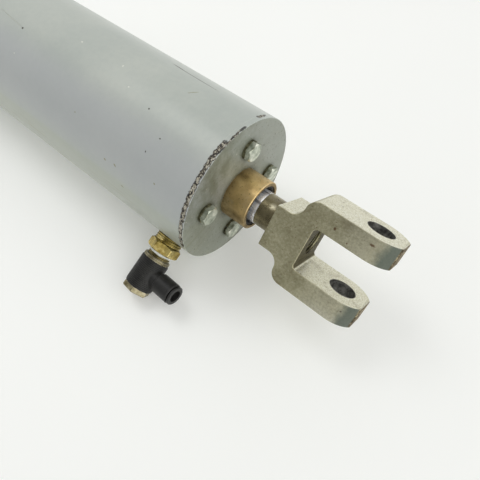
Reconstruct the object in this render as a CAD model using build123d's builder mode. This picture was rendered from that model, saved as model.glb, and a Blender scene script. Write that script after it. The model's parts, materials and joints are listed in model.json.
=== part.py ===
from build123d import *
from math import cos, radians, sin
import os

os.makedirs("parts", exist_ok=True)

# Pneumatic cylinder, rod fully retracted, lying on its side.
# +X runs along the cylinder towards the rod, +Z is up, and the origin is the centre of the
# rear pivot bore. Lengths are in millimetres.

# ---- main dimensions -------------------------------------------------------------------------
bore_r = 50.8  # 4 in bore
barrel_r = 57.15  # 4.5 in tube
stroke = 304.8  # 12 in
head_len = 38.0
piston_len = 38.0
end_gap = 1.0  # piston face to head face at either end of the stroke
cover_t = 4.0
joint_break = 0.15  # broken edges where tube and covers meet
rim_break = 0.4  # rounded outer edge of the covers
rod_r = 12.7  # 1 in rod
stud_r = 9.5  # 3/4 in thread at both ends of the rod
run = 0.05  # radial running clearance

# ---- stations along X ------------------------------------------------------------------------
rear_face = 38.0  # outer face of the rear cover, measured from the pivot
tube_x0 = rear_face + cover_t
rear_head_x1 = tube_x0 + head_len
piston_x0 = rear_head_x1 + end_gap
piston_x1 = piston_x0 + piston_len
front_head_x0 = piston_x1 + stroke + end_gap
tube_x1 = front_head_x0 + head_len
front_face = tube_x1 + cover_t  # outer face of the front cover

# ---- cover bolts -----------------------------------------------------------------------------
bolt_pcd = 72.5
bolt_phase = 72.0
bolt_r = 3.9  # 5/16 in
bolt_clear_r = 4.2
bolt_af = 12.7
bolt_head_h = 3.8
bolt_grip = 22.0  # thread length in the head
head_break = 1.1  # chamfer of the hexagon heads' turned blanks
head_turns = (15, 36, 25, 27)  # how each hexagon was left after tightening
lock_t = 1.6  # split lock washers under the heads
lock_r = 7.1
lock_gap = 1.3
lock_turns = (250, 30, 130, 310)

# ---- key rings and O-rings between heads and tube --------------------------------------------
key_t = 4.0
key_in_r = 47.8
key_out_r = 52.8
key_inset = 3.0  # from the tube's end to the key ring
key_gap = 8.0
o_ring_r = 1.75
o_ring_inset = 4.0  # from the head's inner face
o_groove_half = 2.3
head_lead = 0.8  # chamfer that leads the head past the port hole

# ---- rod gland -------------------------------------------------------------------------------
gland_r = 19.05
gland_out = 20.5
gland_in = 30.0
wiper_r = 16.4
wiper_len = 6.0
rod_seal_r = 17.0
rod_seal_len = 5.5
rod_out = 23.9  # rod shoulder beyond the front cover
rod_hole_gap = 0.6  # clearance of the head's hole round the rod
rod_break = 0.3

# ---- rear eye --------------------------------------------------------------------------------
eye_flange_r = 45.0
eye_flange_t = 12.7
eye_r = 19.05
eye_t = 31.0
pivot_r = 9.6  # 3/4 in pin, sliding
pivot_bush_r = 11.1

# ---- rod clevis, stations from the rod shoulder ----------------------------------------------
clevis_roll = 38.3  # turn about X of the fork, as it was left
neck_r = 12.6
neck_len = 14.3
block_half = 15.5
block_end = 23.1
waist_r = 8.15
slot_x = 42.4
slot_half = 15.9
fork_half = 31.75
fork_half_n = 19.6
ear_round_x = 75.7  # centre of the ears' rounded ends
pin_x = 74.9
pin_r = 9.6
tip_x = 93.3
tip_tilt = 3.6  # the sawn ends are not quite square
fork_break = 0.35  # broken outer edges
slot_fillet = 3.0
stud_len = 38.0
stud_break = 1.2

# ---- piston ----------------------------------------------------------------------------------
piston_gap = 0.4
piston_break = 1.0
seal_depth = 5.0
seal_len = 6.0
seal_inset = 4.0
wear_depth = 2.2
wear_len = 12.0
nut_af = 28.6
nut_pocket_r = 17.0
nut_pocket = 15.0  # depth of the nut's pocket in the piston's rear face
nut_inset = 2.0  # nut's face inside the piston's rear face
washer_r = 16.0
washer_t = 2.0

# ---- port fittings, radial stations from the barrel's surface --------------------------------
port_angle = 207.0  # about X, from +Y
port_inset = 19.1  # from the tube's end
port_thread_r = 10.3  # 1/2 in pipe thread
port_depth = 19.0  # thread's inner end below the barrel's surface
port_hole_gap = 0.4
reducer_bore_r = 6.0
gallery_r = 4.5  # air passage from each port to the bore
gallery_at = 43.0  # its distance from the axis
reducer_af = 22.2
reducer_h0 = 4.3
reducer_h1 = 12.2
reducer_cone = 1.9  # height of the hexagon's turned chamfer, on the thread's side
reducer_top_cone = 0.8
reducer_slope = 1.35  # radius lost per length along those chamfers
reducer_turn = 37.0
reducer_corner_r = 12.6
stem_thread_r = 8.3  # 3/8 in pipe thread
sealant_t = 0.9
sealant_h = 2.2
stem_flange_r = 10.3
stem_flange_t = 2.1
stem_h0 = 1.0
body_r = 10.9
body_h0 = 19.6
body_h1 = 43.6
stem_r = 6.55
stem_bore_r = 3.6
stem_head_af = 19.0
stem_head_h = 47.9
stem_head_turn = 15.0
stem_head_break = 0.8
stem_play = 0.1  # axial play of the elbow between the stem's flange and head
swivel_ring_inset = 3.0  # stem's sealing rings, from the ends of the sleeve
swivel_ring_t = 1.2
swivel_ring_h = 1.8
swivel_groove_h = 2.0
gallery_ring_t = 1.6  # hollow ring inside the sleeve round the stem's cross hole
gallery_ring_h = 7.0
cross_hole_r = 2.6
outlet_h = 31.3
outlet_turn = 5.0  # swivel of the outlet away from +X, as it was left
neck_out_r = 6.9  # waist between the sleeve and the tube socket
outlet_x0 = 13.2
outlet_r = 7.95
outlet_len = 28.3
tube_r = 4.8  # 3/8 in tube socket
sleeve_break = 0.6
outlet_break = 0.7
outlet_bore_r = 3.2
socket_r = 6.4  # seats of the tube seal and the grip ring
tube_stop = 13.7
seal_x0 = 16.6
seal_x1 = 19.0
grip_x0 = 20.2
grip_x1 = 21.4
grip_t = 0.5
grip_notch = 1.8
collar_len = 30.8
collar_flange_t = 1.3
collar_flange_r = 7.5
collar_r = 5.95
collar_x0 = 22.8
collar_break = 0.4


def radial_plane(x, angle, turn=0.0):
    """Plane on the axis at x, its Z pointing radially out at the angle, its X turned from +X."""
    out = Vector(0, cos(radians(angle)), sin(radians(angle)))
    across = out.cross(Vector(1, 0, 0))
    along = Vector(1, 0, 0) * cos(radians(turn)) + across * sin(radians(turn))
    return Plane(origin=(x, 0, 0), x_dir=along, z_dir=out)


def outlet_plane(x):
    """Plane at the elbow's centre, its Z along the outlet and its X along the stem."""
    stem = radial_plane(x, port_angle, outlet_turn)
    centre = Vector(x, 0, 0) + stem.z_dir * (barrel_r + outlet_h)
    return Plane(origin=centre, x_dir=stem.z_dir, z_dir=stem.x_dir)


def across_x(x, flip=False):
    """Plane square to the cylinder at x, facing +X, or -X when flipped."""
    return Plane(origin=(x, 0, 0), x_dir=(0, 1, 0), z_dir=(-1 if flip else 1, 0, 0))


def save(builder, label):
    builder.part.label = label
    export_step(builder.part, f"parts/{label}.step")


front_port_x = tube_x1 - port_inset
rear_port_x = tube_x0 + port_inset
clevis_x = front_face + rod_out
section = Plane.XZ

# ---- barrel tube: a groove for a key ring near each end, and the two port holes --------------
front_key = (tube_x1 - key_inset - key_t, tube_x1 - key_inset)
rear_key = (tube_x0 + key_inset, tube_x0 + key_inset + key_t)

with BuildPart() as barrel_tube:
    with BuildSketch(section):
        Polygon(
            (tube_x0, bore_r),
            (rear_key[0], bore_r),
            (rear_key[0], key_out_r),
            (rear_key[1], key_out_r),
            (rear_key[1], bore_r),
            (front_key[0], bore_r),
            (front_key[0], key_out_r),
            (front_key[1], key_out_r),
            (front_key[1], bore_r),
            (tube_x1, bore_r),
            (tube_x1, barrel_r - joint_break),
            (tube_x1 - joint_break, barrel_r),
            (tube_x0 + joint_break, barrel_r),
            (tube_x0, barrel_r - joint_break),
            align=None,
        )
    revolve(axis=Axis.X)
    for port_x in (front_port_x, rear_port_x):
        with BuildSketch(radial_plane(port_x, port_angle)):
            Circle(port_thread_r + port_hole_gap)
        extrude(amount=barrel_r + 5, mode=Mode.SUBTRACT)
save(barrel_tube, "barrel_tube")


def head_profile(face_x, inner_x, key):
    """Outline of a head: stepped down past its key ring, grooved for its O-ring."""
    side = 1 if inner_x > face_x else -1
    ring_x = inner_x - side * o_ring_inset
    step_x = key[1] if side > 0 else key[0]
    return [
        (face_x, 0),
        (face_x, key_in_r),
        (step_x, key_in_r),
        (step_x, bore_r),
        (ring_x - side * o_groove_half, bore_r),
        (ring_x - side * o_groove_half, bore_r - 2 * o_ring_r),
        (ring_x + side * o_groove_half, bore_r - 2 * o_ring_r),
        (ring_x + side * o_groove_half, bore_r),
        (inner_x - side * head_lead, bore_r),
        (inner_x, bore_r - head_lead),
        (inner_x, 0),
    ]


# ---- front head, bored for the gland, ported and tapped --------------------------------------
gland_depth = gland_in - cover_t

with BuildPart() as front_head:
    with BuildSketch(section):
        Polygon(*head_profile(tube_x1, front_head_x0, front_key), align=None)
    revolve(axis=Axis.X)
    with BuildSketch(across_x(tube_x1)):
        Circle(gland_r)
    extrude(amount=-gland_depth, mode=Mode.SUBTRACT)
    with BuildSketch(across_x(front_head_x0)):
        Circle(rod_r + rod_hole_gap)
    extrude(amount=head_len, mode=Mode.SUBTRACT)
    with BuildSketch(radial_plane(front_port_x, port_angle).offset(barrel_r - port_depth)):
        Circle(port_thread_r)
    extrude(amount=port_depth, mode=Mode.SUBTRACT)
    with BuildSketch(across_x(front_head_x0)):
        with PolarLocations(gallery_at, 1, start_angle=port_angle):
            Circle(gallery_r)
    extrude(amount=front_port_x - front_head_x0, mode=Mode.SUBTRACT)
    with BuildSketch(across_x(tube_x1)):
        with PolarLocations(bolt_pcd / 2, 4, start_angle=bolt_phase):
            Circle(bolt_r)
    extrude(amount=-bolt_grip, mode=Mode.SUBTRACT)
save(front_head, "front_head")

# ---- rear head, blind, ported and tapped -----------------------------------------------------
with BuildPart() as rear_head:
    with BuildSketch(section):
        Polygon(*head_profile(tube_x0, rear_head_x1, rear_key), align=None)
    revolve(axis=Axis.X)
    with BuildSketch(radial_plane(rear_port_x, port_angle).offset(barrel_r - port_depth)):
        Circle(port_thread_r)
    extrude(amount=port_depth, mode=Mode.SUBTRACT)
    with BuildSketch(across_x(rear_port_x)):
        with PolarLocations(gallery_at, 1, start_angle=port_angle):
            Circle(gallery_r)
    extrude(amount=rear_head_x1 - rear_port_x, mode=Mode.SUBTRACT)
    with BuildSketch(across_x(tube_x0)):
        with PolarLocations(bolt_pcd / 2, 4, start_angle=bolt_phase):
            Circle(bolt_r)
    extrude(amount=bolt_grip, mode=Mode.SUBTRACT)
save(rear_head, "rear_head")

# ---- O-rings of the heads --------------------------------------------------------------------
for label, ring_x in (
    ("front_head_o_ring", front_head_x0 + o_ring_inset),
    ("rear_head_o_ring", rear_head_x1 - o_ring_inset),
):
    with BuildPart() as head_o_ring:
        with BuildSketch(section):
            with Locations((ring_x, bore_r - o_ring_r)):
                Circle(o_ring_r)
        revolve(axis=Axis.X)
    save(head_o_ring, label)

# ---- split key rings that hold the heads in the tube -----------------------------------------
for label, key in (("front_key_ring", front_key), ("rear_key_ring", rear_key)):
    with BuildPart() as key_ring:
        with BuildSketch(across_x(key[0])):
            Circle(key_out_r)
            Circle(key_in_r, mode=Mode.SUBTRACT)
            with Locations((0, key_out_r)):
                Rectangle(key_gap, 2 * (key_out_r - key_in_r) + 4, mode=Mode.SUBTRACT)
        extrude(amount=key_t)
    save(key_ring, label)

# ---- cover plates ----------------------------------------------------------------------------
with BuildPart() as front_cover:
    with BuildSketch(across_x(tube_x1)):
        Circle(barrel_r)
        Circle(gland_r, mode=Mode.SUBTRACT)
        with PolarLocations(bolt_pcd / 2, 4, start_angle=bolt_phase):
            Circle(bolt_clear_r, mode=Mode.SUBTRACT)
    extrude(amount=cover_t)
    rims = front_cover.edges().filter_by(GeomType.CIRCLE).sort_by(SortBy.RADIUS)[-2:]
    fillet(rims.sort_by(Axis.X)[-1], rim_break)
save(front_cover, "front_cover")

with BuildPart() as rear_cover:
    with BuildSketch(across_x(rear_face)):
        Circle(barrel_r)
        with PolarLocations(bolt_pcd / 2, 4, start_angle=bolt_phase):
            Circle(bolt_clear_r, mode=Mode.SUBTRACT)
    extrude(amount=cover_t)
    rims = rear_cover.edges().filter_by(GeomType.CIRCLE).sort_by(SortBy.RADIUS)[-2:]
    fillet(rims.sort_by(Axis.X)[0], rim_break)
save(rear_cover, "rear_cover")

# ---- cover bolts with split lock washers under their heads -----------------------------------
rear_seat = rear_face - eye_flange_t
bolt_corner_r = bolt_af / 2 / cos(radians(30))

for end, seat_x, out, grip in (
    ("front", front_face, 1, cover_t),
    ("rear", rear_seat, -1, cover_t + eye_flange_t),
):
    head_x = seat_x + out * lock_t
    outward = Axis((0, 0, 0), (out, 0, 0))

    # Turned and chamfered head blanks, cut to hexagons, with their shanks.
    with BuildPart() as cover_bolts:
        with BuildSketch(across_x(head_x)):
            with PolarLocations(bolt_pcd / 2, 4, start_angle=bolt_phase):
                Circle(bolt_corner_r + 0.1)
        extrude(amount=out * bolt_head_h)
        chamfer(cover_bolts.faces().sort_by(outward)[-4:].edges(), head_break)
        with BuildSketch(across_x(head_x)):
            for quarter, turn in enumerate(head_turns):
                with PolarLocations(bolt_pcd / 2, 1, start_angle=bolt_phase + 90 * quarter, rotate=False):
                    RegularPolygon(bolt_af / 2, 6, major_radius=False, rotation=turn)
        extrude(amount=out * bolt_head_h, mode=Mode.INTERSECT)
        with BuildSketch(across_x(head_x)):
            with PolarLocations(bolt_pcd / 2, 4, start_angle=bolt_phase):
                Circle(bolt_r)
        extrude(amount=-out * (lock_t + grip + bolt_grip - 2))
    save(cover_bolts, f"{end}_cover_bolts")

    with BuildPart() as lock_washers:
        with BuildSketch(across_x(seat_x)):
            with PolarLocations(bolt_pcd / 2, 4, start_angle=bolt_phase):
                Circle(lock_r)
                Circle(bolt_clear_r, mode=Mode.SUBTRACT)
            for quarter, turn in enumerate(lock_turns):
                with PolarLocations(bolt_pcd / 2, 1, start_angle=bolt_phase + 90 * quarter, rotate=False):
                    Rectangle(
                        lock_r + 1,
                        lock_gap,
                        rotation=turn,
                        align=(Align.MIN, Align.CENTER),
                        mode=Mode.SUBTRACT,
                    )
        extrude(amount=out * lock_t)
    save(lock_washers, f"{end}_lock_washers")

# ---- rod bushing, wiper and seal -------------------------------------------------------------
gland_x0 = front_face - gland_in
gland_x1 = front_face + gland_out
lip_x = gland_x1 - wiper_len

with BuildPart() as rod_bushing:
    with BuildSketch(section):
        Polygon(
            (gland_x0, rod_seal_r),
            (gland_x0 + rod_seal_len, rod_seal_r),
            (gland_x0 + rod_seal_len, rod_r + run),
            (lip_x, rod_r + run),
            (lip_x, wiper_r),
            (gland_x1, wiper_r),
            (gland_x1, gland_r - 0.5),
            (gland_x1 - 0.5, gland_r),
            (gland_x0, gland_r),
            align=None,
        )
    revolve(axis=Axis.X)
save(rod_bushing, "rod_bushing")

with BuildPart() as rod_wiper:
    with BuildSketch(section):
        Polygon(
            (lip_x, rod_r + run),
            (lip_x, wiper_r),
            (gland_x1 - 1.0, wiper_r),
            (gland_x1 - 1.0, rod_r + 2.2),
            (gland_x1 - 3.2, rod_r + 1.1),
            (gland_x1 - 2.4, rod_r + run),
            align=None,
        )
    revolve(axis=Axis.X)
save(rod_wiper, "rod_wiper")

with BuildPart() as rod_seal:
    with BuildSketch(section):
        Polygon(
            (gland_x0 + 0.3, rod_r + run),
            (gland_x0 + 0.3, rod_r + 1.3),
            (gland_x0 + 3.0, rod_r + 2.1),
            (gland_x0 + 0.3, rod_seal_r - 1.2),
            (gland_x0 + 0.3, rod_seal_r),
            (gland_x0 + rod_seal_len, rod_seal_r),
            (gland_x0 + rod_seal_len, rod_r + run),
            align=None,
        )
    revolve(axis=Axis.X)
save(rod_seal, "rod_seal")

# ---- rear eye: flange and tang, with a pressed bushing ---------------------------------------
with BuildPart() as rear_eye_mount:
    with BuildSketch(across_x(rear_face, flip=True)):
        Circle(eye_flange_r)
    extrude(amount=eye_flange_t)
    with BuildSketch(Plane.XZ):
        Circle(eye_r)
        with Locations(((rear_seat + 1) / 2, 0)):
            Rectangle(rear_seat + 1, 2 * eye_r)
    extrude(amount=eye_t / 2, both=True)
    with BuildSketch(Plane.XZ):
        Circle(pivot_bush_r)
    extrude(amount=eye_t / 2, both=True, mode=Mode.SUBTRACT)
    seat = rear_eye_mount.faces().filter_by(Plane.YZ).sort_by(Axis.X)[0]
    fillet(seat.inner_wires().edges(), 3)
    fillet(rear_eye_mount.edges().filter_by(GeomType.CIRCLE).group_by(Axis.X)[-1], 1)
    with BuildSketch(across_x(rear_face, flip=True)):
        with PolarLocations(bolt_pcd / 2, 4, start_angle=-bolt_phase):
            Circle(bolt_clear_r)
    extrude(amount=eye_flange_t, mode=Mode.SUBTRACT)
save(rear_eye_mount, "rear_eye_mount")

with BuildPart() as rear_pivot_bushing:
    with BuildSketch(Plane.XZ):
        Circle(pivot_bush_r)
        Circle(pivot_r, mode=Mode.SUBTRACT)
    extrude(amount=eye_t / 2, both=True)
save(rear_pivot_bushing, "rear_pivot_bushing")

# ---- piston, its two seals and its wear ring -------------------------------------------------
piston_r = bore_r - piston_gap
groove_r = bore_r - seal_depth
wear_r = bore_r - wear_depth
seal_stations = (piston_x0 + seal_inset, piston_x1 - seal_inset - seal_len)
wear_x = (piston_x0 + piston_x1 - wear_len) / 2
nut_seat = piston_x0 + nut_pocket

with BuildPart() as piston:
    with BuildSketch(section):
        Polygon(
            (piston_x0, nut_pocket_r),
            (nut_seat, nut_pocket_r),
            (nut_seat, stud_r),
            (piston_x1, stud_r),
            (piston_x1, piston_r - piston_break),
            (piston_x1 - piston_break, piston_r),
            (piston_x0 + piston_break, piston_r),
            (piston_x0, piston_r - piston_break),
            align=None,
        )
    revolve(axis=Axis.X)
    with BuildSketch(section):
        for seal_x in seal_stations:
            with Locations((seal_x + seal_len / 2, (groove_r + bore_r) / 2)):
                Rectangle(seal_len, bore_r - groove_r)
        with Locations((wear_x + wear_len / 2, (wear_r + bore_r) / 2)):
            Rectangle(wear_len, bore_r - wear_r)
    revolve(axis=Axis.X, mode=Mode.SUBTRACT)
save(piston, "piston")

with BuildPart() as piston_seals:
    with BuildSketch(section):
        for seal_x, lip in zip(seal_stations, (-1, 1)):
            mid = seal_x + seal_len / 2
            half = seal_len / 2 - run
            Polygon(
                (mid - lip * half, groove_r + run),
                (mid - lip * half, bore_r - run),
                (mid + lip * half, bore_r - run),
                (mid + lip * half, bore_r - 1.3),
                (mid, (groove_r + bore_r) / 2),
                (mid + lip * half, groove_r + 1.3),
                (mid + lip * half, groove_r + run),
                align=None,
            )
    revolve(axis=Axis.X)
save(piston_seals, "piston_seals")

with BuildPart() as piston_wear_ring:
    with BuildSketch(section):
        with Locations((wear_x + wear_len / 2, (wear_r + bore_r) / 2)):
            Rectangle(wear_len - 2 * run, bore_r - wear_r - 2 * run)
    revolve(axis=Axis.X)
save(piston_wear_ring, "piston_wear_ring")

# ---- piston rod, threaded at both ends -------------------------------------------------------
with BuildPart() as piston_rod:
    with BuildSketch(section):
        Polygon(
            (piston_x0 + 1, 0),
            (piston_x0 + 1, stud_r - 1),
            (piston_x0 + 2, stud_r),
            (piston_x1, stud_r),
            (piston_x1, rod_r),
            (clevis_x - rod_break, rod_r),
            (clevis_x, rod_r - rod_break),
            (clevis_x, stud_r),
            (clevis_x + stud_len - stud_break, stud_r),
            (clevis_x + stud_len, stud_r - stud_break),
            (clevis_x + stud_len, 0),
            align=None,
        )
    revolve(axis=Axis.X)
save(piston_rod, "piston_rod")

with BuildPart() as piston_nut:
    with BuildSketch(across_x(piston_x0 + nut_inset)):
        RegularPolygon(nut_af / 2, 6, major_radius=False)
        Circle(stud_r, mode=Mode.SUBTRACT)
    extrude(amount=nut_pocket - washer_t - nut_inset)
save(piston_nut, "piston_nut")

with BuildPart() as piston_washer:
    with BuildSketch(across_x(nut_seat - washer_t)):
        Circle(washer_r)
        Circle(stud_r, mode=Mode.SUBTRACT)
    extrude(amount=washer_t)
save(piston_washer, "piston_washer")

# ---- rod clevis: bar block on a round neck, waisted, forked and drilled ----------------------
fork_n = Vector(0, -cos(radians(clevis_roll)), sin(radians(clevis_roll)))
fork_p = Vector(0, sin(radians(clevis_roll)), cos(radians(clevis_roll)))
fork_plane = Plane(origin=(clevis_x, 0, 0), x_dir=(1, 0, 0), z_dir=fork_n)
ear_plane = Plane(origin=(clevis_x, 0, 0), x_dir=(1, 0, 0), z_dir=fork_p)
waist_x = block_end + waist_r
waist_p = block_half + waist_r
blank_x = tip_x + 5

with BuildPart() as rod_clevis:
    with BuildSketch(fork_plane):
        with BuildLine():
            for side in (1, -1):
                Line((neck_len, 0), (neck_len, side * block_half))
                Line((neck_len, side * block_half), (block_end, side * block_half))
                RadiusArc(
                    (block_end, side * block_half),
                    (waist_x, side * waist_p),
                    -side * waist_r,
                )
                RadiusArc(
                    (waist_x, side * waist_p),
                    (waist_x + fork_half - waist_p, side * fork_half),
                    side * (fork_half - waist_p),
                )
                Line((waist_x + fork_half - waist_p, side * fork_half), (blank_x, side * fork_half))
                Line((blank_x, side * fork_half), (blank_x, side * slot_half))
                Line((blank_x, side * slot_half), (slot_x, side * slot_half))
                Line((slot_x, side * slot_half), (slot_x, 0))
        make_face()
    extrude(amount=fork_half_n, both=True)
    corners = rod_clevis.edges().filter_by(Axis(origin=(0, 0, 0), direction=fork_n))
    inner = corners.filter_by(
        lambda e: abs(e.center().X - clevis_x - slot_x) < 0.1 and abs(e.center().dot(fork_p)) > 1
    )
    fillet(inner, slot_fillet)
    with BuildSketch(ear_plane):
        with Locations((ear_round_x, 0)):
            Circle(fork_half_n)
        with Locations((ear_round_x / 2, 0)):
            Rectangle(ear_round_x, 2 * fork_half_n)
        with Locations((tip_x + 10 * cos(radians(tip_tilt)), -10 * sin(radians(tip_tilt)))):
            Rectangle(20, 60, rotation=-tip_tilt, mode=Mode.SUBTRACT)
    extrude(amount=2 * fork_half, both=True, mode=Mode.INTERSECT)
    chamfer(rod_clevis.edges().filter_by(GeomType.LINE), fork_break)
    with BuildSketch(across_x(clevis_x)):
        Circle(neck_r)
    extrude(amount=neck_len)
    with BuildSketch(ear_plane):
        with Locations((pin_x, 0)):
            Circle(pin_r)
    extrude(amount=2 * fork_half, both=True, mode=Mode.SUBTRACT)
    with BuildSketch(across_x(clevis_x)):
        Circle(stud_r)
    extrude(amount=slot_x + 1, mode=Mode.SUBTRACT)
save(rod_clevis, "rod_clevis")


# ---- push-in elbow fittings, one on each port ------------------------------------------------
for end, port_x in (("front", front_port_x), ("rear", rear_port_x)):
    port = radial_plane(port_x, port_angle)
    outlet = outlet_plane(port_x)
    port_axis = Axis(port.origin, port.z_dir)
    port_section = Plane(origin=port.origin, x_dir=port.x_dir, z_dir=-port.y_dir)

    # Reducing bushing: pipe thread outside, hexagon, smaller pipe thread inside.
    with BuildPart() as reducer_bushing:
        with BuildSketch(port.offset(barrel_r - port_depth)):
            Circle(port_thread_r)
        extrude(amount=port_depth + reducer_h0)
        with BuildSketch(port.offset(barrel_r + reducer_h0)):
            RegularPolygon(reducer_af / 2, 6, major_radius=False, rotation=reducer_turn)
        extrude(amount=reducer_h1 - reducer_h0)
        with BuildSketch(port.offset(barrel_r - port_depth)):
            Circle(reducer_corner_r)
        extrude(amount=port_depth + reducer_h1, mode=Mode.INTERSECT)
        with BuildSketch(port_section):
            for h0, h1 in (
                (reducer_h0, reducer_h0 + reducer_cone),
                (reducer_h1, reducer_h1 - reducer_top_cone),
            ):
                inner_r = reducer_corner_r - abs(h1 - h0) * reducer_slope
                Polygon(
                    (inner_r, barrel_r + h0),
                    (reducer_corner_r + 1, barrel_r + h0),
                    (reducer_corner_r + 1, barrel_r + h1),
                    (reducer_corner_r, barrel_r + h1),
                    align=None,
                )
        revolve(axis=port_axis, mode=Mode.SUBTRACT)
        with BuildSketch(port.offset(barrel_r - port_depth)):
            Circle(reducer_bore_r)
        extrude(amount=port_depth + reducer_h1, mode=Mode.SUBTRACT)
        with BuildSketch(port.offset(barrel_r - stem_h0)):
            Circle(stem_thread_r)
        extrude(amount=reducer_h1 + stem_h0, mode=Mode.SUBTRACT)
    save(reducer_bushing, f"{end}_reducer_bushing")

    # Sealant ring left proud on the stem's thread.
    with BuildPart() as thread_sealant:
        with BuildSketch(port.offset(barrel_r + reducer_h1)):
            Circle(stem_thread_r + sealant_t)
            Circle(stem_thread_r, mode=Mode.SUBTRACT)
        extrude(amount=sealant_h)
    save(thread_sealant, f"{end}_thread_sealant")

    # Hollow stem: thread, grooved journal for the elbow, cross hole, hexagon head.
    with BuildPart() as elbow_stem:
        with BuildSketch(port.offset(barrel_r - stem_h0)):
            Circle(stem_thread_r)
        extrude(amount=body_h0 - stem_play + stem_h0)
        with BuildSketch(port.offset(barrel_r + body_h0 - stem_play)):
            Circle(stem_flange_r)
        extrude(amount=-stem_flange_t)
        with BuildSketch(port.offset(barrel_r + body_h0 - stem_play)):
            Circle(stem_r)
        extrude(amount=body_h1 - body_h0 + 2 * stem_play)
        with BuildSketch(port.offset(barrel_r + body_h1 + stem_play)):
            RegularPolygon(stem_head_af / 2, 6, major_radius=False, rotation=stem_head_turn)
        extrude(amount=stem_head_h - body_h1 - stem_play)
        chamfer(elbow_stem.faces().sort_by(port_axis)[-1].edges(), stem_head_break)
        for ring_h in (body_h0 + swivel_ring_inset, body_h1 - swivel_ring_inset):
            with BuildSketch(port.offset(barrel_r + ring_h - swivel_groove_h / 2)):
                Circle(stem_r + 1)
                Circle(stem_r - swivel_ring_t, mode=Mode.SUBTRACT)
            extrude(amount=swivel_groove_h, mode=Mode.SUBTRACT)
        with BuildSketch(port.offset(barrel_r - stem_h0)):
            Circle(stem_bore_r)
        extrude(amount=outlet_h + stem_h0 + 4, mode=Mode.SUBTRACT)
        with BuildSketch(outlet):
            Circle(cross_hole_r)
        extrude(amount=stem_r + 1, both=True, mode=Mode.SUBTRACT)
    save(elbow_stem, f"{end}_elbow_stem")

    # Square-section rings in the stem's grooves.
    with BuildPart() as elbow_seals:
        for ring_h in (body_h0 + swivel_ring_inset, body_h1 - swivel_ring_inset):
            with BuildSketch(port.offset(barrel_r + ring_h - swivel_ring_h / 2)):
                Circle(stem_r)
                Circle(stem_r - swivel_ring_t, mode=Mode.SUBTRACT)
            extrude(amount=swivel_ring_h)
    save(elbow_seals, f"{end}_elbow_seals")

    # Elbow body: a sleeve that turns on the stem, an air gallery and the tube socket.
    with BuildPart() as elbow_body:
        with BuildSketch(port.offset(barrel_r + body_h0)):
            Circle(body_r)
        extrude(amount=body_h1 - body_h0)
        chamfer(elbow_body.edges().filter_by(GeomType.CIRCLE), sleeve_break)
        with BuildSketch(outlet.offset(outlet_x0)):
            Circle(outlet_r)
        extrude(amount=outlet_len - outlet_x0)
        along = Axis(outlet.origin, outlet.z_dir)
        chamfer(elbow_body.faces().sort_by(along)[-1].edges(), sleeve_break)
        chamfer(elbow_body.edges().filter_by(GeomType.CIRCLE).sort_by(along)[-3], outlet_break)
        with BuildSketch(outlet):
            Circle(neck_out_r)
        extrude(amount=outlet_x0)
        with BuildSketch(port.offset(barrel_r + body_h0)):
            Circle(stem_r + run)
        extrude(amount=body_h1 - body_h0, mode=Mode.SUBTRACT)
        with BuildSketch(port.offset(barrel_r + outlet_h - gallery_ring_h / 2)):
            Circle(stem_r + gallery_ring_t)
        extrude(amount=gallery_ring_h, mode=Mode.SUBTRACT)
        for step_r, step_x0, step_x1 in (
            (outlet_bore_r, stem_r, tube_stop),
            (tube_r, tube_stop, grip_x0),
            (socket_r, seal_x0, seal_x1),
            (socket_r, grip_x0, grip_x1),
            (collar_r + run, grip_x1, outlet_len),
        ):
            with BuildSketch(outlet.offset(step_x0)):
                Circle(step_r)
            extrude(amount=step_x1 - step_x0, mode=Mode.SUBTRACT)
    save(elbow_body, f"{end}_elbow_body")

    # Tube seal, grip ring and release collar, in the order the tube meets them from inside.
    with BuildPart() as tube_seal:
        with BuildSketch(outlet.offset(seal_x0)):
            Circle(socket_r)
            Circle(tube_r, mode=Mode.SUBTRACT)
        extrude(amount=seal_x1 - seal_x0)
    save(tube_seal, f"{end}_tube_seal")

    with BuildPart() as grip_ring:
        with BuildSketch(outlet.offset((grip_x0 + grip_x1 - grip_t) / 2)):
            Circle(socket_r)
            Circle(tube_r, mode=Mode.SUBTRACT)
            with PolarLocations(tube_r, 12):
                Rectangle(grip_notch, grip_t, mode=Mode.SUBTRACT)
        extrude(amount=grip_t)
    save(grip_ring, f"{end}_grip_ring")

    with BuildPart() as release_collar:
        with BuildSketch(outlet.offset(collar_x0)):
            Circle(collar_r)
        extrude(amount=collar_len - collar_flange_t - collar_x0)
        with BuildSketch(outlet.offset(collar_len - collar_flange_t)):
            Circle(collar_flange_r)
        extrude(amount=collar_flange_t)
        chamfer(release_collar.faces().sort_by(Axis(outlet.origin, outlet.z_dir))[-1].edges(), collar_break)
        with BuildSketch(outlet.offset(collar_x0)):
            Circle(tube_r)
        extrude(amount=collar_len - collar_x0, mode=Mode.SUBTRACT)
    save(release_collar, f"{end}_release_collar")
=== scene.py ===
import bpy
import json
import math
from mathutils import Matrix, Vector, noise


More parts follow.
